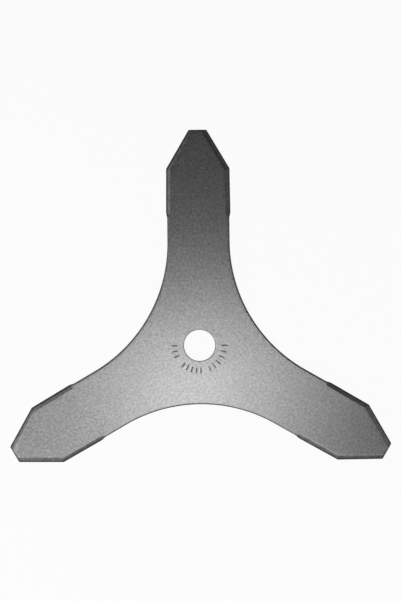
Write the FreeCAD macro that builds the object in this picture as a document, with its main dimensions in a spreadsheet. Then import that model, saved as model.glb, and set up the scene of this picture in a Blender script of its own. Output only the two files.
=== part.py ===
import FreeCAD, Part
import os
import re
import Sketcher
from FreeCAD import Placement, Rotation, Vector

# Brush cutter blade: one flat steel plate with three arms and a round bore.
# Frame: origin on the bore's axis at the underside, +Z up through the bore, one arm along +Y.

os.makedirs("parts", exist_ok=True)
doc = FreeCAD.newDocument("brush_cutter_blade")

arm_total = 3
full_turn = 360
close = 1e-4

# Sizes in millimetres and degrees, each of which can be set by itself.
driving_sizes = {
    "swept_diameter": 350,     # circle through the corners of the blunt tips
    "plate_thickness": 3,
    "bore_diameter": 25.4,
    "bore_edge_break": 0.3,
    "shank_width": 50.5,       # across the parallel sides of an arm
    "shank_straight": 19.5,    # straight side left between the crotch curve and the step
    "step_length": 3.7,        # ramp from the shank out to the pressed edge
    "edge_swell": 0.85,        # how far pressing has pushed that edge past the shank
    "cheek_length": 35.9,      # sharpened side, from the step to the shoulder
    "cheek_taper": 0.6,        # lean of that side towards the arm's axis
    "slant_angle": 30.5,       # lean of the sharpened point towards the arm's axis
    "tip_width": 14.5,         # blunt end between the two slants
    "step_radius": 6,
    "shoulder_radius": 1.5,
    "tip_radius": 1.5,
    "rim_radius": 0.8,         # tumbled round on every edge that isn't sharpened
    "bevel_width": 3.5,        # seen from above
    "edge_land": 0.5,          # thickness left at the sharpened edge
    "fade_offset": 0.5,        # from that edge out to the axis about which the bevel fades away
    "fade_turn": 120,          # far enough round that axis to leave the steel
}

# Sizes that follow from them. A half is across from the arm's axis, a reach is along it.
worked_out_sizes = {
    "shank_half": "shank_width / 2",
    "root_half": "shank_half + edge_swell",
    "cheek_half": "root_half - cheek_length * sin(cheek_taper)",
    "tip_half": "tip_width / 2",
    "tip_reach": "sqrt((swept_diameter / 2) ^ 2 - tip_half ^ 2)",
    "shoulder_reach": "tip_reach - (cheek_half - tip_half) / tan(slant_angle)",
    "root_reach": "shoulder_reach - cheek_length * cos(cheek_taper)",
    "step_reach": "root_reach - step_length",
    # Two shanks cross at 120 degrees, and the crotch curve touches both where they end.
    "crotch_reach": "step_reach - shank_straight",
    "crotch_radius": "(crotch_reach - shank_half / tan(60)) / tan(30)",
    "bevel_depth": "(plate_thickness - edge_land) / 2",
    # The two rims of one wall leave a flat between them.
    "rim_round": "min(rim_radius; 0.4 * plate_thickness)",
    # The cutter runs past the steel by this much on its open sides, at the bevel's own slope.
    "overrun_width": "bevel_width / 2",
    "overrun_depth": "bevel_depth / 2",
}

sheet = doc.addObject("Spreadsheet::Sheet", "Sizes")
for row, (alias, size) in enumerate({**driving_sizes, **worked_out_sizes}.items(), start=1):
    sheet.set(f"A{row}", alias)
    sheet.set(f"B{row}", f"={size}" if alias in worked_out_sizes else str(size))
    sheet.setAlias(f"B{row}", alias)
doc.recompute()


def formula(text):
    # each size named in the text, as the cell that holds it
    return re.sub(r"[a-z]+(_[a-z]+)+", r"Sizes.\g<0>", text)


def amount(text):
    return sheet.evalExpression(formula(text))


def bind(feature, setting, text):
    feature.setExpression(setting, formula(text))


def origin_part(body, role):
    return next(item for item in body.Origin.OriginFeatures if item.Role == role)


def add_sketch(body, name, role):
    sketch = body.newObject("Sketcher::SketchObject", name)
    sketch.AttachmentSupport = [(origin_part(body, role), "")]
    sketch.MapMode = "FlatFace"
    return sketch


def add_feature(body, kind, name):
    # the body's shape is the one that this feature leaves
    feature = body.newObject(f"PartDesign::{kind}", name)
    body.Tip = feature
    return feature


def pin_corner(sketch, line, end, across, along):
    # hold one end of a line at its distances from the sketch's origin
    for kind, text in (("DistanceX", across), ("DistanceY", along)):
        if text == "0":
            axis = -2 if kind == "DistanceX" else -1
            sketch.addConstraint(Sketcher.Constraint("PointOnObject", line, end, axis))
            continue
        place = sketch.addConstraint(Sketcher.Constraint(kind, -1, 1, line, end, amount(text)))
        bind(sketch, f"Constraints[{place}]", text)


def draw_lines(sketch, corners, closed):
    points = [Vector(amount(across), amount(along), 0) for across, along in corners]
    ends = points[1:] + points[:1] if closed else points[1:]
    for start, end in zip(points, ends):
        sketch.addGeometry(Part.LineSegment(start, end), False)
    total = len(ends)
    for line in range(total if closed else total - 1):
        sketch.addConstraint(Sketcher.Constraint("Coincident", line, 2, (line + 1) % total, 1))


def draw_chain(sketch, corners, closed=True):
    # straight lines through corners that are each held by two distances
    draw_lines(sketch, corners, closed)
    for line, (across, along) in enumerate(corners):
        if line < sketch.GeometryCount:
            pin_corner(sketch, line, 1, across, along)
        else:
            pin_corner(sketch, line - 1, 2, across, along)


def draw_mirrored(sketch, right_side):
    # closed outline whose left side repeats the right one across the vertical axis
    left_side = [(f"-({across})", along) for across, along in reversed(right_side)]
    draw_lines(sketch, right_side + left_side, True)
    total = 2 * len(right_side)
    for line, (across, along) in enumerate(right_side):
        pin_corner(sketch, line, 1, across, along)
        sketch.addConstraint(Sketcher.Constraint("Symmetric", line, 1, total - 1 - line, 1, -2))


def repeat_on_arms(body, name, features):
    pattern = body.newObject("PartDesign::PolarPattern", name)
    pattern.Originals = features
    pattern.Axis = (origin_part(body, "Z_Axis"), [""])
    pattern.Angle = full_turn
    pattern.Occurrences = arm_total
    return pattern


def edges_where(shape, wanted):
    return [f"Edge{place}" for place, edge in enumerate(shape.Edges, start=1) if wanted(edge)]


def upright_at(distance):
    # true for an upright edge this far from the bore's axis
    def wanted(edge):
        ends = [Vector(corner.X, corner.Y, 0) for corner in edge.Vertexes]
        upright = (ends[0] - ends[-1]).Length < close
        return upright and len(ends) == 2 and abs(ends[0].Length - distance) < close
    return wanted


def at_height(height):
    # true for an edge whose ends both lie this far above or below the middle plane
    return lambda edge: all(abs(abs(corner.Z) - height) < close for corner in edge.Vertexes)


def round_edges(body, name, wanted, radius):
    base = body.Tip
    rounding = add_feature(body, "Fillet", name)
    rounding.Base = (base, edges_where(base.Shape, wanted))
    bind(rounding, "Radius", radius)
    doc.recompute()


def build_plate(body):
    # three arms, each blanked from the same outline, that cross at the bore
    corners = {
        "StepStarts": ("shank_half", "step_reach", "step_radius"),
        "StepEnds": ("root_half", "root_reach", "step_radius"),
        "Shoulders": ("cheek_half", "shoulder_reach", "shoulder_radius"),
        "TipCorners": ("tip_half", "tip_reach", "tip_radius"),
    }
    outline = add_sketch(body, "ArmOutline", "XY_Plane")
    draw_mirrored(outline, [("shank_half", "0")] + [corner[:2] for corner in corners.values()])
    arm = add_feature(body, "Pad", "Arm")
    arm.Profile = outline
    arm.SideType = "Symmetric"
    bind(arm, "Length", "plate_thickness")
    body.Tip = repeat_on_arms(body, "Arms", [arm])
    doc.recompute()

    # where two shanks cross, then the corners along each side of an arm
    crotch = {"Crotches": ("shank_half", "shank_half / tan(60)", "crotch_radius")}
    for name, (across, along, radius) in {**crotch, **corners}.items():
        distance = Vector(amount(across), amount(along), 0).Length
        round_edges(body, name, upright_at(distance), radius)
    round_edges(body, "Rims", at_height(amount("plate_thickness / 2")), "rim_round")


def bore_plate(body):
    circle = add_sketch(body, "BoreCircle", "XY_Plane")
    circle.addGeometry(Part.Circle(Vector(), Vector(0, 0, 1), amount("bore_diameter / 2")), False)
    circle.addConstraint(Sketcher.Constraint("Coincident", 0, 3, -1, 1))
    size = circle.addConstraint(Sketcher.Constraint("Diameter", 0, amount("bore_diameter")))
    bind(circle, f"Constraints[{size}]", "bore_diameter")
    bore = add_feature(body, "Pocket", "Bore")
    bore.Profile = circle
    bore.SideType = "Symmetric"
    bind(bore, "Length", "2 * plate_thickness")
    doc.recompute()

    mouths = edges_where(bore.Shape, lambda edge: len(edge.Vertexes) == 1)
    edge_break = add_feature(body, "Chamfer", "BoreEdgeBreak")
    edge_break.Base = (bore, mouths)
    bind(edge_break, "Size", "bore_edge_break")
    doc.recompute()


def place_section(sketch):
    # stand the sketch square across the right-hand cheek, with its origin at the edge where the cheek begins
    sketch.AttachmentOffset = Placement(Vector(0, 0, 0), Rotation(Vector(0, 1, 0), 1))
    bind(sketch, "AttachmentOffset.Base.x", "root_half")
    bind(sketch, "AttachmentOffset.Base.z", "-root_reach")
    bind(sketch, "AttachmentOffset.Rotation.Angle", "cheek_taper")


def grind_bevels(body):
    # One bevel is a slope swept up the cheek, round the shoulder and off the end of the slant.
    route = add_sketch(body, "BevelRoute", "XY_Plane")
    draw_chain(route, [
        ("root_half", "root_reach"),
        ("cheek_half", "shoulder_reach"),
        ("tip_half - overrun_width * sin(slant_angle)", "tip_reach + overrun_width * cos(slant_angle)"),
    ], closed=False)

    top = "plate_thickness / 2 + overrun_depth"
    section = add_sketch(body, "BevelSection", "XZ_Plane")
    place_section(section)
    draw_chain(section, [
        ("-bevel_width - overrun_width", top),
        ("overrun_width", "edge_land / 2 - overrun_depth"),
        ("overrun_width", top),
    ])
    bevel = add_feature(body, "SubtractivePipe", "Bevel")
    bevel.Profile = section
    bevel.Spine = (route, ["Edge1", "Edge2"])
    bevel.Transition = "Right corner"
    doc.recompute()

    # It fades out over the step as part of a hollow cone, turned about an upright axis outside the edge.
    fade = add_sketch(body, "FadeSection", "XZ_Plane")
    place_section(fade)
    draw_chain(fade, [
        ("-bevel_width - overrun_width", top),
        ("fade_offset", "edge_land / 2 - fade_offset * bevel_depth / bevel_width"),
        ("fade_offset", top),
    ])
    fade_axis = 2
    run_out = add_feature(body, "Groove", "RunOut")
    run_out.Profile = fade
    run_out.ReferenceAxis = (fade, [f"Edge{fade_axis}"])
    bind(run_out, "Angle", "fade_turn")
    doc.recompute()

    # the same on the arm's other side, on the underside, and on each arm
    bevels = add_feature(body, "MultiTransform", "Bevels")
    bevels.Originals = [bevel, run_out]
    other_side = body.newObject("PartDesign::Mirrored", "OtherSide")
    other_side.MirrorPlane = (origin_part(body, "YZ_Plane"), [""])
    underside = body.newObject("PartDesign::Mirrored", "Underside")
    underside.MirrorPlane = (origin_part(body, "XY_Plane"), [""])
    each_arm = repeat_on_arms(body, "EachArm", [])
    bevels.Transformations = [other_side, underside, each_arm]
    body.Tip = bevels
    doc.recompute()


def build_blade():
    body = doc.addObject("PartDesign::Body", "Blade")
    body.Label = "blade"
    # the sketches lie in the plate's middle plane, and the plate stands on its underside
    bind(body, "Placement.Base.z", "plate_thickness / 2")
    build_plate(body)
    bore_plate(body)
    grind_bevels(body)
    return body


blade = build_blade()
doc.recompute()

for item in doc.Objects:
    if "Invalid" in item.State or "Error" in item.State:
        raise RuntimeError(f"{item.Name} failed")
if blade.Shape.isNull() or not blade.Shape.isValid():
    raise RuntimeError("the blade has no valid shape")
blade.Shape.exportStep(f"parts/{blade.Label}.step")
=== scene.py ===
import bpy
import numpy as np
from mathutils import Euler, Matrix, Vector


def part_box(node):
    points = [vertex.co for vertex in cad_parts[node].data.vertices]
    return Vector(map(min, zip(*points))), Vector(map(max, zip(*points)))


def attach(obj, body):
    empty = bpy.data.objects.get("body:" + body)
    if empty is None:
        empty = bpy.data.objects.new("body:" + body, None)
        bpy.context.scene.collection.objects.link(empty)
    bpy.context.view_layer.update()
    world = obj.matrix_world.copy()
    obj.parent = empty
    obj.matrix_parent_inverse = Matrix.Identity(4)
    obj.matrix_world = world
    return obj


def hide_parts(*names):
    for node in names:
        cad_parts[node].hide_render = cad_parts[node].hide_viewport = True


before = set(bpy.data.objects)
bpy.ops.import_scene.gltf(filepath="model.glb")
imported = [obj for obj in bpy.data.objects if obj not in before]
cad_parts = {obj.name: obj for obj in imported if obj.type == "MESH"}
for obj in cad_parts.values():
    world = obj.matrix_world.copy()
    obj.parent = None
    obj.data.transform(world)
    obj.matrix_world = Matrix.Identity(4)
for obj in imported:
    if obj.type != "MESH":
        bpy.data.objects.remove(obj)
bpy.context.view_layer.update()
print("frame loaded")

low, high = (np.array(corner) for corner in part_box("blade"))
top = high[2]
middle = (low[2] + high[2]) / 2
halfThick = top - middle

# the blade plate: lengths in metres, angles in degrees, tones and levels as shares of 1
bladePlate = dict(
    # plan of one half arm, to the right of the arm that points along +Y
    plan=dict(
        arms=3,
        tipReach=high[1],
        tipHalf=.00725,
        slantLean=30.5,
        cheekLean=.6,
        cheekLength=.0359,
        rootHalf=.0261,
        stepLength=.0037,
        shankHalf=.02525,
        shankStraight=.0195,
        tipRound=.0015,
        shoulderRound=.0015,
        stepRound=.006,
        leastRound=.0003,       # no corner that is moved inwards gets sharper than this
    ),
    # columns of the mesh along each stretch of a half arm, from the middle of the tip to the crotch
    columns=dict(tip=6, tipCorner=8, slant=50, shoulder=7, cheek=52, rootCorner=6, ramp=9, stepCorner=6,
                 shank=22, crotch=54),
    edge=dict(
        rimWidth=.0014,         # width and drop of the tumbled rims, each a quarter ellipse
        rimDrop=.0009,
        rimAngles=(0, 12, 24, 36, 48, 60, 72, 82, 90),  # rows of the mesh round that quarter
        rimTone=(.0005, .0009),  # the rims' painted shade, a dark tone, is full up to one inset and gone at the next
        edgeTone=(.0008, .0021),  # painted shade the same way at a ground edge
        tipTone=(.0009, .0018),  # and painted shade at the blunt tip
        rollWidth=.0038,        # the face falls gently over this width towards a blanked edge
        rollDrop=.00004,
        bevelWidth=.0035,
        land=.0005,             # thickness left at the cutting edge
        edgeRound=.001,         # width and drop of the tumbled cutting edge
        edgeDrop=.0002,
        fadeOffset=.0005,       # a slope fades out round an axis this far outside the edge
        soften=.0002,           # rounding of the crease between slope and face, as a height
        slantSoften=.0003,      # the same along the slants
        hipSoften=.0004,        # and of the hip where two slopes meet
        wobble=.00008,          # how far the ground edge wanders
        waveShares=(.5, .3, .2),
        waveLengths=(.031, .0127, .0046),
        waveSeed=5,
        waveSkew=.3,            # makes the waves differ from arm to arm
        fadeColumns=5,          # columns over which one kind of edge passes into the next
        # how far each stretch is ground, and which stretches have the slants' crease and the tip's tone
        ground=dict(tipCorner=.5, slant=1, shoulder=1, cheek=1, rootCorner=1, ramp=.6, stepCorner=.1),
        slants=dict(tipCorner=1, slant=1),
        blunt=dict(tip=1, tipCorner=1),
        # insets of the rows of the mesh, inside the quarter of a rim and over a slope
        rimInsets=(.0018, .0023, .0030, .0038, .0048),
        bevelInsets=(0, .00003, .0001, .00022, .00042, .0007, .00105, .0016, .0023, .0029, .0033, .0036,
                     .0039, .0043),
        innermost=.006,
    ),
    hub=dict(
        bore=.0127,
        breakWidth=.00025,
        breakRows=(0, .3, .7, 1),
        boreTone=(.12, .5, .8, .9, .9),  # painted shade, from beside the broken edge down to its foot
        # stretches of rings: outer radius, inner radius and count
        upperRows=((.027, .0231, 4), (.0229, .0178, 21), (.0170, .0132, 5)),
        lowerRows=((.027, .0132, 4),),
    ),
    # short plain index strokes stamped round the bore, their angles from +X
    strokes=dict(
        angles=(0, -14, -27, -42, -54, -66, -87, -97, -108, -119, -130, -155, -167, -180),
        middleRadius=.02035,
        length=.0043,
        width=.0009,
        edge=.00022,            # width over which a stroke's side falls
        depth=.00015,
    ),
)
plan, columnShares, edgeShape, hubShape, strokes = bladePlate.values()

armTurn = 2 * np.pi / plan["arms"]
halfTurn = armTurn / 2
perHalf = sum(columnShares.values())
columns = 2 * plan["arms"] * perHalf


def turnOf(first, second):
    # angle between the inward normals of two sides: the arc cosine of their product
    return np.arccos(np.clip(first @ second, -1, 1))


def inwardOf(start, end):
    # unit normal on the right of the way from start to end: the way's y, then its x turned negative
    way = (end - start) / np.linalg.norm(end - start)
    return np.array([way[1], -way[0]])


def planCorners(p):
    # sharp corners of the half arm's outline, from the tip inwards: each side's length times the sine and
    # cosine of its lean. Two shanks cross at the shank's half width over the tangent of half an arm's turn.
    slant, cheek = np.radians(p["slantLean"]), np.radians(p["cheekLean"])
    shoulderHalf = p["rootHalf"] - p["cheekLength"] * np.sin(cheek)
    shoulderReach = p["tipReach"] - (shoulderHalf - p["tipHalf"]) / np.tan(slant)
    rootReach = shoulderReach - p["cheekLength"] * np.cos(cheek)
    stepReach = rootReach - p["stepLength"]
    return dict(
        tipMiddle=np.array([0, p["tipReach"]]),
        tipCorner=np.array([p["tipHalf"], p["tipReach"]]),
        shoulder=np.array([shoulderHalf, shoulderReach]),
        root=np.array([p["rootHalf"], rootReach]),
        step=np.array([p["shankHalf"], stepReach]),
        crossing=np.array([p["shankHalf"], p["shankHalf"] / np.tan(halfTurn)]),
    )


corners = planCorners(plan)
# the crotch's arc starts where the straight part of the shank ends
crotchReach = corners["step"][1] - plan["shankStraight"]
crotchRound = (crotchReach - corners["crossing"][1]) * np.tan(halfTurn)

normals = dict(
    tip=inwardOf(corners["tipMiddle"], corners["tipCorner"]),
    slant=inwardOf(corners["tipCorner"], corners["shoulder"]),
    cheek=inwardOf(corners["shoulder"], corners["root"]),
    ramp=inwardOf(corners["root"], corners["step"]),
    shank=inwardOf(corners["step"], corners["crossing"]),
)
nextShank = np.array([-np.cos(halfTurn), -np.sin(halfTurn)])


def cornerArc(corner, before, after, radius, inset, share):
    # point of a rounded corner moved inwards: the arc's centre on the mitre, less its radius along an inward
    # normal that turns from one side's to the other's. A convex corner's radius shrinks, a hollow one's grows.
    mitre = (before + after) / (1 + before @ after)
    hollow = before[0] * after[1] - before[1] * after[0] > 0
    inner = -(radius + inset) if hollow else np.maximum(radius - inset, plan["leastRound"])
    angle = share * turnOf(before, after) * (1 if hollow else -1)
    normal = np.stack([before[0] * np.cos(angle) - before[1] * np.sin(angle),
                       before[0] * np.sin(angle) + before[1] * np.cos(angle)], -1)
    return corner + (inset + inner)[..., None] * mitre - inner[..., None] * normal


def halfArm(inset):
    # plan of the half arm's outline moved inwards by inset, rows by columns: arcs at the corners, and
    # straight lines shared out evenly between their ends
    ends = dict(
        tipCorner=(corners["tipCorner"], normals["tip"], normals["slant"], plan["tipRound"]),
        shoulder=(corners["shoulder"], normals["slant"], normals["cheek"], plan["shoulderRound"]),
        rootCorner=(corners["root"], normals["cheek"], normals["ramp"], plan["stepRound"]),
        stepCorner=(corners["step"], normals["ramp"], normals["shank"], plan["stepRound"]),
        crotch=(corners["crossing"], normals["shank"], nextShank, crotchRound),
    )
    names = list(columnShares)
    points = np.empty(inset.shape + (2,))
    place = 0
    for order, name in enumerate(names):
        count = columnShares[name]
        part = inset[:, place:place + count]
        share = np.broadcast_to((np.arange(count) + .5) / count, part.shape)
        if name in ends:
            reach = .5 if name == "crotch" else 1  # the crotch's other half is the next arm's
            points[:, place:place + count] = cornerArc(*ends[name], part, share * reach)
        else:
            if name == "tip":
                start = np.stack([np.zeros_like(part), plan["tipReach"] - part], -1)
            else:
                start = cornerArc(*ends[names[order - 1]], part, np.ones_like(part))
            end = cornerArc(*ends[names[order + 1]], part, np.zeros_like(part))
            points[:, place:place + count] = start + share[..., None] * (end - start)
        place += count
    return points


def turned(points, angle):
    # plan points turned about the bore, counterclockwise by angle: x and y mixed by its cosine and sine
    return points @ np.array([[np.cos(angle), np.sin(angle)], [-np.sin(angle), np.cos(angle)]])


def wholeOutline(inset):
    # half arms turned and mirrored into one closed ring, clockwise from the middle of the first tip
    pieces = []
    for arm in range(plan["arms"]):
        place = 2 * arm * perHalf
        first, second = inset[:, place:place + perHalf], inset[:, place + perHalf:place + 2 * perHalf]
        pieces.append(turned(halfArm(first), -arm * armTurn))
        mirrored = halfArm(second[:, ::-1])[:, ::-1] * [-1, 1]
        pieces.append(turned(mirrored, -(arm + 1) * armTurn))
    return np.concatenate(pieces, 1)


def armAngles():
    # for each column, which way it lies from its arm's middle and how far that arm is turned
    order = np.arange(columns) // perHalf
    return np.where(order % 2 == 0, 1, -1), (order + 1) // 2 * armTurn


def armFrame(points):
    # the same points in the frame of their own half arm: out from its axis, and along it
    turn = armAngles()[1]
    across = points[..., 0] * np.cos(turn) - points[..., 1] * np.sin(turn)
    along = points[..., 0] * np.sin(turn) + points[..., 1] * np.cos(turn)
    return np.abs(across), along


def fromArmFrame(across, along):
    # back from the frame of each half arm, which armFrame gives
    side, turn = armAngles()
    x = side * across * np.cos(turn) + along * np.sin(turn)
    y = -side * across * np.sin(turn) + along * np.cos(turn)
    return np.stack([x, y], -1)


def straightened(points):
    # the innermost row runs straight past the step, so that no face between it and the hub folds: out on
    # the arm it keeps to the lesser of its own distance and the shank's
    across, along = armFrame(points)
    limit = plan["shankHalf"] - edgeShape["innermost"]
    across = np.where(along > crotchReach, np.minimum(across, limit), across)
    return fromArmFrame(across, along)


def softMin(first, second, width):
    # lower of two heights, with the crease between them lowered by width times share times one less share
    blend = np.clip(.5 + .5 * (second - first) / width, 0, 1)
    return second + (first - second) * blend - width * blend * (1 - blend)


def wander(along):
    # slow wave between -1 and 1 along an edge: a sum of sines, each with its share, length and phase
    e = edgeShape
    phases = np.random.default_rng(e["waveSeed"]).uniform(0, 2 * np.pi, len(e["waveShares"]))
    return sum(share * np.sin(2 * np.pi * along / wave + phase)
               for share, wave, phase in zip(e["waveShares"], e["waveLengths"], phases))


def bevelHeight(points):
    # height over the middle plane of the ground slopes: half the land plus the slope times the distance
    # from the nearer edge, and beside the step from an axis, so that the slope fades out in a cone
    across, along = armFrame(points)
    place = np.stack([across, along], -1)
    e = edgeShape
    slope = (halfThick - e["land"] / 2) / e["bevelWidth"]
    fromCheek = (place - corners["root"]) @ normals["cheek"]
    fromSlant = (place - corners["tipCorner"]) @ normals["slant"]
    cheekWay = (corners["shoulder"] - corners["root"]) / plan["cheekLength"]
    upCheek = (place - corners["root"]) @ cheekWay
    axis = corners["root"] - normals["cheek"] * e["fadeOffset"]
    fromAxis = np.linalg.norm(place - axis, axis=-1) - e["fadeOffset"]
    fromCheek = np.where(upCheek > 0, fromCheek, fromAxis)
    waver = e["wobble"] * wander(np.linalg.norm(points, axis=-1) + points[..., 0] * e["waveSkew"])
    fromEdge = softMin(fromCheek, fromSlant, e["hipSoften"])
    return e["land"] / 2 + slope * (fromEdge + waver * np.clip(fromEdge / e["bevelWidth"], 0, 1))


def quarterRound(inset, width, drop):
    # fall of a rounded edge, a quarter ellipse: the drop times one less the root of one less the square of
    # the share of the width that is left, so the whole drop at the edge and none past the width
    share = np.clip(1 - inset / width, 0, 1)
    return drop * (1 - np.sqrt(1 - share ** 2))


def rimHeight(inset):
    # height over the middle plane of the tumbled rim: a quarter ellipse, then the gentle roll up to the face,
    # a square of the share of its width that is left
    e = edgeShape
    roll = e["rollDrop"] * np.clip(1 - inset / e["rollWidth"], 0, 1) ** 2
    return halfThick - quarterRound(inset, e["rimWidth"], e["rimDrop"]) - roll


def edgeRows():
    # insets of the rows for a tumbled rim and for a bevel: round the rim, its width times one less the cosine
    e = edgeShape
    arc = e["rimWidth"] * (1 - np.cos(np.radians(e["rimAngles"])))
    return np.array([*arc, *e["rimInsets"], e["innermost"]]), np.array([*e["bevelInsets"], e["innermost"]])


def columnLevels(levels):
    # level of every column from the levels of the stretches of a half arm, as a moving mean over columns
    half = np.concatenate([np.full(count, levels.get(name, 0), float)
                           for name, count in columnShares.items()])
    ring = np.concatenate([half, half[::-1]] * plan["arms"])
    width = edgeShape["fadeColumns"]
    reach = width // 2
    closed = np.concatenate([ring[-reach:], ring, ring[:reach]])
    return np.convolve(closed, np.ones(width) / width, "valid")


def strokeMask(plane):
    # 1 inside the index strokes: each is a bar along its own radius, with soft ends and sides that follow
    # three times the square less twice the cube
    s = strokes
    radius, angle = np.linalg.norm(plane, axis=-1), np.arctan2(plane[..., 1], plane[..., 0])
    mask = np.zeros(radius.shape)
    for turn in np.radians(s["angles"]):
        across = np.abs(radius * np.sin(angle - turn))
        along = np.abs(radius * np.cos(angle - turn) - s["middleRadius"])
        reach = np.maximum(across - s["width"] / 2, along - s["length"] / 2)
        mask = np.maximum(mask, np.clip(.5 - reach / s["edge"], 0, 1))
    return mask ** 2 * (3 - 2 * mask)


def hubRing(stretches):
    # circles round the hub, down to the bore's broken edge, a cone as wide as it is deep: plan, height over
    # the middle plane, and share of painted shade at the bore's edge
    h = hubShape
    flat = np.concatenate([np.linspace(*stretch) for stretch in stretches])
    fall = np.array(h["breakRows"])
    radii = np.concatenate([flat, h["bore"] + h["breakWidth"] * (1 - fall)])
    broken = np.concatenate([np.zeros(len(flat)), fall])
    # painted shade round the bore's broken edge and down its wall
    tone = np.concatenate([np.zeros(len(flat) - 1), h["boreTone"]])
    angle = np.pi / 2 - (np.arange(columns) + .5) * 2 * np.pi / columns
    ring = radii[:, None, None] * np.stack([np.cos(angle), np.sin(angle)], -1)
    broken, tone = (np.broadcast_to(level[:, None], ring.shape[:2]) for level in (broken, tone))
    return ring, halfThick - h["breakWidth"] * broken, tone


def paintMask(mesh, name, values):
    # one value for each point of the mesh, which the material reads by its name
    mask = mesh.attributes.new(name, "FLOAT", "POINT")
    mask.data.foreach_set("value", values.ravel().astype(np.float32))


def buildBlade():
    # one closed tube of rows: up over the edge band and the hub, down the bore, and back under both. The
    # band's rows are a mean of rim rows and bevel rows, weighted by how far a column is ground.
    e = edgeShape
    share, slants, tip = (columnLevels(e[name]) for name in ("ground", "slants", "blunt"))
    rim, bevel = edgeRows()
    inset = rim[:, None] * (1 - share) + bevel[:, None] * share
    band = wholeOutline(inset)
    band[-1] = straightened(band[-1:])[0]
    plain, ground = rimHeight(inset), bevelHeight(band)
    soften = e["soften"] + slants * (e["slantSoften"] - e["soften"])
    bandGround = np.clip(.5 + (plain - ground) / soften, 0, 1)
    rounded = quarterRound(inset, e["edgeRound"], e["edgeDrop"])
    height = softMin(plain, ground, soften) - rounded * share * bandGround
    # painted shade: a dark tone along the blanked rims, the ground edges and the blunt tip, standing in for
    # their shading
    paintedShades = (("rimTone", (1 - share) * (1 - tip)), ("tipTone", (1 - share) * tip), ("edgeTone", share))
    full, gone = sum(np.array(e[name])[:, None] * part for name, part in paintedShades)
    bandRimShade = np.clip((gone - inset) / (gone - full), 0, 1)

    upperRing, upperHeight, upperShade = hubRing(hubShape["upperRows"])
    lowerRing, lowerHeight, lowerShade = hubRing(hubShape["lowerRows"])
    stamped = strokeMask(upperRing)
    upperHeight = upperHeight - strokes["depth"] * stamped

    def layer(planPoints, z):
        # plan points lifted to their heights
        return np.concatenate([planPoints, np.broadcast_to(z, planPoints.shape[:2])[..., None]], -1)

    grid = np.concatenate([
        layer(band[:1], middle), layer(band, middle + height), layer(upperRing, middle + upperHeight),
        layer(upperRing[-1:], middle), layer(lowerRing[::-1], middle - lowerHeight[::-1]),
        layer(band[::-1], middle - height[::-1])])
    whole, bare = np.ones((1, columns)), np.zeros((1, columns))
    noBand, noUpper, noLower = 0 * bandRimShade, 0 * upperShade, 0 * lowerShade
    # share of painted shade, which also roughens: full on the walls, fading in from the rims and round the
    # bore
    rimShadeMask = np.concatenate([whole, bandRimShade, upperShade, whole, lowerShade[::-1], bandRimShade[::-1]])
    groundMask = np.concatenate([bandGround[:1], bandGround, noUpper, bare, noLower, bandGround[::-1]])
    strokeLayer = np.concatenate([bare, noBand, stamped, bare, noLower, noBand])

    # way along the outline, and in from it, for the grinding lines
    path = np.zeros(grid.shape)
    path[..., 0] = np.linalg.norm(np.roll(band[0], -1, 0) - band[0], axis=-1).cumsum()
    path[1:1 + len(band), :, 1] = inset
    path[-len(band):, :, 1] = inset[::-1]

    rows = grid.shape[0]
    row, column = np.meshgrid(np.arange(rows), np.arange(columns), indexing="ij")
    nextRow, nextColumn = (row + 1) % rows, (column + 1) % columns
    quads = np.stack([row * columns + column, nextRow * columns + column,
                      nextRow * columns + nextColumn, row * columns + nextColumn], -1).reshape(-1, 4)
    mesh = bpy.data.meshes.new("blade plate")
    mesh.from_pydata(grid.reshape(-1, 3).tolist(), [], quads.tolist())
    mesh.update()
    mesh.polygons.foreach_set("use_smooth", np.ones(len(mesh.polygons), bool))
    paintMask(mesh, "rim", rimShadeMask)
    paintMask(mesh, "ground", groundMask)
    paintMask(mesh, "stroke", strokeLayer)
    mesh.attributes.new("edgePath", "FLOAT_VECTOR", "POINT").data.foreach_set("vector", path.ravel())
    plate = bpy.data.objects.new("bladePlate", mesh)
    bpy.context.scene.collection.objects.link(plate)
    return plate


# finish of the steel. Each pattern has a noise of a scale, detail and twist, and adds what is given here to
# the grey (as a share of it), the roughness and the height of the bump (in bump units). Rims, strokes and
# ground slopes change the grey, and the first two the roughness; the rims' darker grey is painted shade.
steel = dict(
    grey=.5,
    rough=.30,
    bumpUnit=.001,              # in metres
    mottleNoise=(600, 3, .4),
    mottleGrey=1.25,
    mottleRough=.07,
    mottleBump=.06,
    grainNoise=(1700, 2, 0),
    grainGrey=.16,
    grainRough=.05,
    grainBump=.006,
    cloudNoise=(24, 2, .4),
    cloudGrey=.08,
    cloudBump=.06,
    # painted shade on the rims, the walls and the bore's edge, as a share of the grey
    rimShadeGrey=-.86,
    rimRough=.22,
    strokeGrey=-.55,
    strokeRough=.2,
    groundGrey=-.02,
    lineStretch=(1500, 70, 1),  # grinding lines run inwards from the edge
    lineNoise=(1, 3, 0),
    lineGrey=.16,
    lineBump=.012,
)


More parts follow.
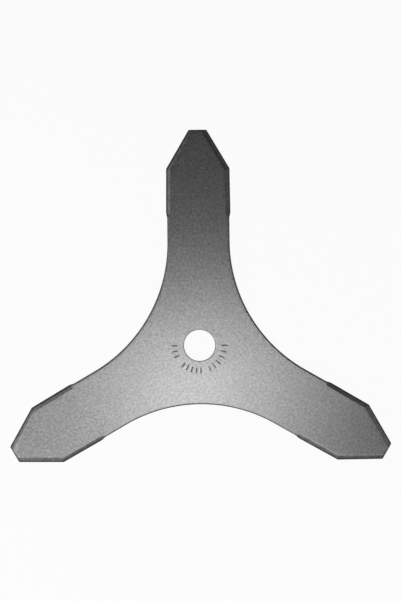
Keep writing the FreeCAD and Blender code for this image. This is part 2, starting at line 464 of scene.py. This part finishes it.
def steelMaterial():
    # bare tumbled steel, with painted shade darkening its rims, walls and the bore's edge
    s = steel
    material = bpy.data.materials.new("tumbledSteel")
    material.use_nodes = True
    nodes, links = material.node_tree.nodes, material.node_tree.links
    shader = nodes["Principled BSDF"]
    shader.inputs["Metallic"].default_value = 1

    def math(operation, *values):
        # one step of arithmetic on sockets and plain numbers
        node = nodes.new("ShaderNodeMath")
        node.operation = operation
        for socket, value in zip(node.inputs, values):
            if isinstance(value, bpy.types.NodeSocket):
                links.new(value, socket)
            else:
                socket.default_value = value
        return node.outputs[0]

    def total(start, *terms):
        # start plus every term times its amount
        for term, amount in terms:
            start = math("MULTIPLY_ADD", term, amount, start)
        return start

    def pattern(vector, noise):
        # noise about zero
        node = nodes.new("ShaderNodeTexNoise")
        for name, value in zip(("Scale", "Detail", "Distortion"), noise):
            node.inputs[name].default_value = value
        links.new(vector, node.inputs["Vector"])
        return math("SUBTRACT", node.outputs["Fac"], .5)

    def painted(name):
        # what the mesh holds under this name
        node = nodes.new("ShaderNodeAttribute")
        node.attribute_name = name
        return node.outputs

    place = nodes.new("ShaderNodeTexCoord").outputs["Object"]
    mottle = pattern(place, s["mottleNoise"])
    grain = pattern(place, s["grainNoise"])
    cloud = pattern(place, s["cloudNoise"])
    rim, ground, stroke = (painted(name)["Fac"] for name in ("rim", "ground", "stroke"))
    stretch = nodes.new("ShaderNodeMapping")
    stretch.inputs["Scale"].default_value = s["lineStretch"]
    links.new(painted("edgePath")["Vector"], stretch.inputs["Vector"])
    lines = math("MULTIPLY", pattern(stretch.outputs["Vector"], s["lineNoise"]), ground)

    shade = total(1, (mottle, s["mottleGrey"]), (grain, s["grainGrey"]), (cloud, s["cloudGrey"]),
                  (lines, s["lineGrey"]), (ground, s["groundGrey"]))
    # the grey, darkened by painted shade on the rims and by the stamped strokes
    tone = total(s["grey"], (rim, s["grey"] * s["rimShadeGrey"]), (stroke, s["grey"] * s["strokeGrey"]))
    links.new(math("MULTIPLY", shade, tone), shader.inputs["Base Color"])
    rough = total(s["rough"], (mottle, s["mottleRough"]), (grain, s["grainRough"]), (rim, s["rimRough"]),
                  (stroke, s["strokeRough"]))
    links.new(rough, shader.inputs["Roughness"])
    bump = nodes.new("ShaderNodeBump")
    bump.inputs["Strength"].default_value = 1
    bump.inputs["Distance"].default_value = s["bumpUnit"]
    height = total(0, (mottle, s["mottleBump"]), (grain, s["grainBump"]), (cloud, s["cloudBump"]),
                   (lines, s["lineBump"]))
    links.new(height, bump.inputs["Height"])
    links.new(bump.outputs["Normal"], shader.inputs["Normal"])
    return material


plate = buildBlade()
plate.data.materials.append(steelMaterial())
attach(plate, "root")
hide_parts("blade")
print("blade built", len(plate.data.polygons), "faces")

# floor: how far it reaches, its own grey, and how much of it shows as plain white behind the object
studioFloor = dict(size=3, grey=.9, white=.94)


def floorPiece():
    # one square, white to the eye and to gloss, grey to the light, so that it keeps the object's shadow
    size = studioFloor["size"]
    mesh = bpy.data.meshes.new("studio floor")
    square = [(-size, -size, 0), (size, -size, 0), (size, size, 0), (-size, size, 0)]
    mesh.from_pydata(square, [], [(0, 1, 2, 3)])
    floor = bpy.data.objects.new("studioFloor", mesh)
    bpy.context.scene.collection.objects.link(floor)
    material = bpy.data.materials.new("paleFloor")
    material.use_nodes = True
    nodes, links = material.node_tree.nodes, material.node_tree.links
    shader = nodes["Principled BSDF"]
    shader.inputs["Base Color"].default_value = (studioFloor["grey"],) * 3 + (1,)
    white = nodes.new("ShaderNodeEmission")
    rays = nodes.new("ShaderNodeLightPath")
    seen = rays.outputs["Is Camera Ray"]
    for name in ("Is Glossy Ray", "Is Transmission Ray"):
        either = nodes.new("ShaderNodeMath")
        either.operation = "MAXIMUM"
        links.new(seen, either.inputs[0])
        links.new(rays.outputs[name], either.inputs[1])
        seen = either.outputs[0]
    share = nodes.new("ShaderNodeMath")
    share.operation = "MULTIPLY"
    share.inputs[1].default_value = studioFloor["white"]
    links.new(seen, share.inputs[0])
    mix = nodes.new("ShaderNodeMixShader")
    links.new(share.outputs[0], mix.inputs["Fac"])
    links.new(shader.outputs["BSDF"], mix.inputs[1])
    links.new(white.outputs["Emission"], mix.inputs[2])
    links.new(mix.outputs["Shader"], nodes["Material Output"].inputs["Surface"])
    mesh.materials.append(material)
    return floor


floor = floorPiece()
print("floor laid")

# studio lamps, all facing down: place in metres over the floor, size across and along, strength in watts
lamps = dict(
    strip=dict(place=(0, -.09, .65), size=(.38, .08), watts=.089),
    stripBack=dict(place=(0, -.02, .65), size=(.38, .08), watts=.095),
    spot=dict(place=(-.02, -.10, .62), size=(.10, .08), watts=.064),
    backNear=dict(place=(0, .22, .65), size=(.3, .2), watts=.012),
    leftNear=dict(place=(-.22, -.16, .65), size=(.25, .2), watts=.051),
    front=dict(place=(0, -.33, .65), size=(.35, .35), watts=.291),
    frontRight=dict(place=(.265, -.459, .65), size=(.35, .35), watts=.108),
    left=dict(place=(-.53, 0, .65), size=(.35, .35), watts=.081),
    leftSoft=dict(place=(-.6, -.31, .65), size=(.4, .4), watts=3.04),
    rightSoft=dict(place=(.55, -.25, .65), size=(.25, .25), watts=.411),
    backRight=dict(place=(.42, .24, .65), size=(.25, .25), watts=.018),
    backLeft=dict(place=(-.45, .33, .65), size=(.25, .25), watts=.085),
    southWest=dict(place=(-.5, -1.0, .6), size=(.5, .5), watts=.99),
    east=dict(place=(1.1, 0, .6), size=(.5, .5), watts=.54),
)


def hangLamp(name, settings):
    # an oval lamp that the camera doesn't see
    lamp = bpy.data.lights.new(name, "AREA")
    lamp.shape = "ELLIPSE"
    lamp.size, lamp.size_y = settings["size"]
    lamp.energy = settings["watts"]
    holder = bpy.data.objects.new(name, lamp)
    holder.location = settings["place"]
    holder.visible_camera = False
    bpy.context.scene.collection.objects.link(holder)


for name, settings in lamps.items():
    hangLamp(name, settings)
print("lamps hung", len(lamps))

# sky: bright at the horizon, full up to one height and gone at the next (sine of the angle up)
sky = dict(horizon=.97, overhead=0, full=.30, gone=.55)


def studioWorld():
    # grey sky whose level falls with the height of the direction
    world = bpy.data.worlds.new("studio")
    bpy.context.scene.world = world
    world.use_nodes = True
    nodes, links = world.node_tree.nodes, world.node_tree.links
    way = nodes.new("ShaderNodeTexCoord")
    split = nodes.new("ShaderNodeSeparateXYZ")
    ramp = nodes.new("ShaderNodeValToRGB")
    links.new(way.outputs["Generated"], split.inputs[0])
    links.new(split.outputs["Z"], ramp.inputs[0])
    stops = ramp.color_ramp.elements
    for stop, place, level in zip(stops, (sky["full"], sky["gone"]), (sky["horizon"], sky["overhead"])):
        stop.position = place
        stop.color = (level, level, level, 1)
    links.new(ramp.outputs["Color"], nodes["Background"].inputs["Color"])


studioWorld()
print("sky set")

# camera over the blade: lens and sensor in millimetres, place in metres, turn in radians
photoView = dict(lens=88.41, sensor=36, place=(.01133, .05813, 1.2), turn=(-.018155, .008334, -.010038))


def placeCamera():
    # the photograph's view, which becomes the scene's camera
    view = bpy.data.cameras.new("photo view")
    view.lens = photoView["lens"]
    view.sensor_width = photoView["sensor"]
    holder = bpy.data.objects.new("photoView", view)
    holder.location = photoView["place"]
    holder.rotation_euler = Euler(photoView["turn"])
    bpy.context.scene.collection.objects.link(holder)
    bpy.context.scene.camera = holder


placeCamera()
bpy.context.scene.view_settings.view_transform = "Standard"
print("camera placed")
